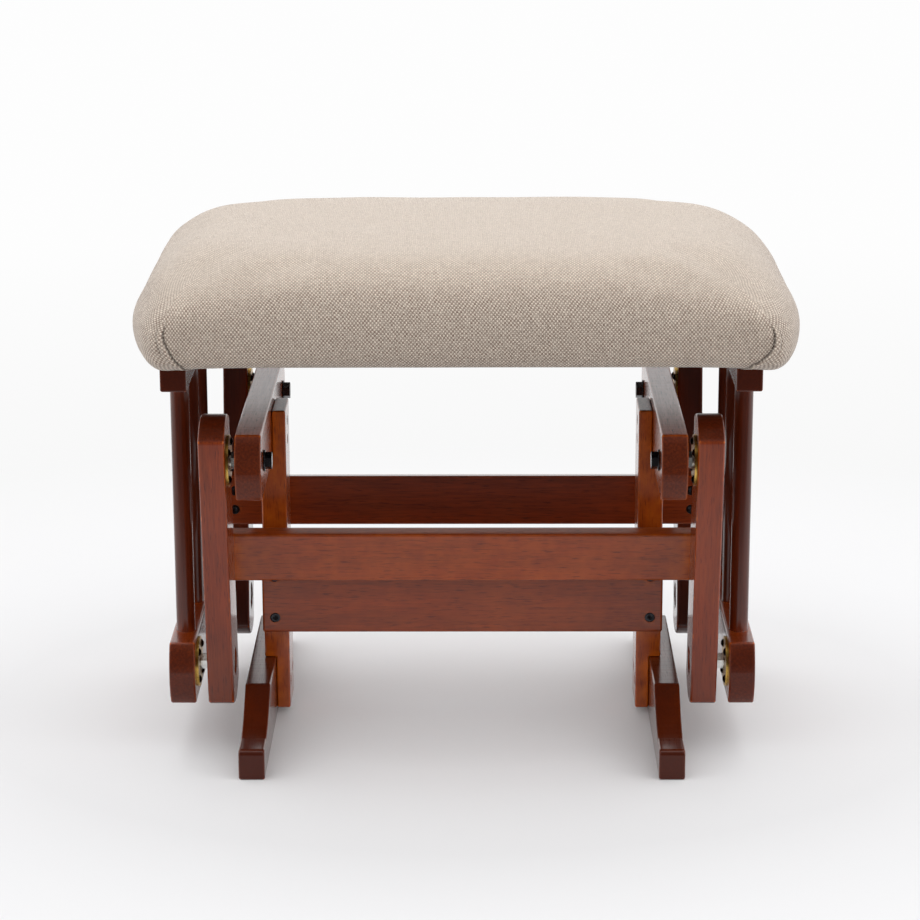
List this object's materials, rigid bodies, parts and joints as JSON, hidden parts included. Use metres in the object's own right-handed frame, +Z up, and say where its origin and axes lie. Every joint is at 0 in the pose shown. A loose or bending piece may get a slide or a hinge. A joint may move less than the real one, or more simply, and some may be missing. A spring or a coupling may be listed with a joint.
{
  "type": "glider ottoman",
  "caption": "Cushioned footrest whose seat frame hangs on swinging arms from a fixed wooden base and glides forwards and backwards on ball bearings.",
  "frame": {"origin": "on the floor under the middle of the ottoman", "axes": "+X to the right along the wide side, +Y to the back, +Z up"},
  "size_m": [0.557, 0.378, 0.443],
  "materials": {
    "cherry_wood": "gloss",
    "black_steel": "satin",
    "zinc_steel": "satin",
    "yellow_zinc": "satin",
    "bearing_steel": "polished",
    "plywood": "matte",
    "foam": "matte",
    "tweed": "matte",
    "black_cloth": "matte"
  },
  "bodies": {
    "base": {"foot_left": "cherry_wood", "foot_right": "cherry_wood", "upright_left": "cherry_wood", "upright_right": "cherry_wood", "pivot_rail_left": "cherry_wood", "pivot_rail_right": "cherry_wood", "stretcher": "cherry_wood", "stretcher_screws": "black_steel", "foot_screws": "black_steel", "pivot_rail_screws": "black_steel", "upper_bolts": "black_steel", "upper_washers": "black_steel", "upper_hubs": "zinc_steel"},
    "front_swing": {"front_arm_left": "cherry_wood", "front_arm_right": "cherry_wood", "front_crossbar": "cherry_wood", "front_crossbar_screws": "black_steel", "front_upper_plates": "yellow_zinc", "front_upper_balls": "bearing_steel", "front_upper_plate_screws": "black_steel", "front_lower_bolts": "black_steel", "front_lower_washers": "black_steel", "front_lower_hubs": "zinc_steel"},
    "rear_swing": {"rear_arm_left": "cherry_wood", "rear_arm_right": "cherry_wood", "rear_crossbar": "cherry_wood", "rear_crossbar_screws": "black_steel", "rear_upper_plates": "yellow_zinc", "rear_upper_balls": "bearing_steel", "rear_upper_plate_screws": "black_steel", "rear_lower_bolts": "black_steel", "rear_lower_washers": "black_steel", "rear_lower_hubs": "zinc_steel"},
    "seat": {"lower_rail_left": "cherry_wood", "lower_rail_right": "cherry_wood", "posts_left": "cherry_wood", "posts_right": "cherry_wood", "top_rail_left": "cherry_wood", "top_rail_right": "cherry_wood", "seat_front_plates": "yellow_zinc", "seat_front_balls": "bearing_steel", "seat_front_plate_screws": "black_steel", "seat_rear_plates": "yellow_zinc", "seat_rear_balls": "bearing_steel", "seat_rear_plate_screws": "black_steel", "seat_board": "plywood", "seat_screws": "black_steel", "cushion_foam": "foam", "cushion_cover": "tweed", "dust_cloth": "black_cloth"}
  },
  "joints": [
    {"name": "front_swing_hinge", "type": "hinge", "parent": "base", "child": "front_swing", "pos_m": [0, -0.123, 0.2615], "axis": [1, 0, 0], "range_deg": [-12, 12]},
    {"name": "seat_hinge", "type": "hinge", "parent": "front_swing", "child": "seat", "pos_m": [0, -0.0925, 0.0745], "axis": [1, 0, 0], "range_deg": [-16, 16]},
    {"name": "rear_swing_hinge", "type": "hinge", "parent": "base", "child": "rear_swing", "pos_m": [0, 0.123, 0.2615], "axis": [1, 0, 0], "range_deg": [-12, 12]}
  ],
  "couplings": [
    {"joint": "seat_hinge", "follows": "front_swing_hinge", "ratio": -1.326},
    {"joint": "rear_swing_hinge", "follows": "front_swing_hinge", "ratio": 1}
  ]
}
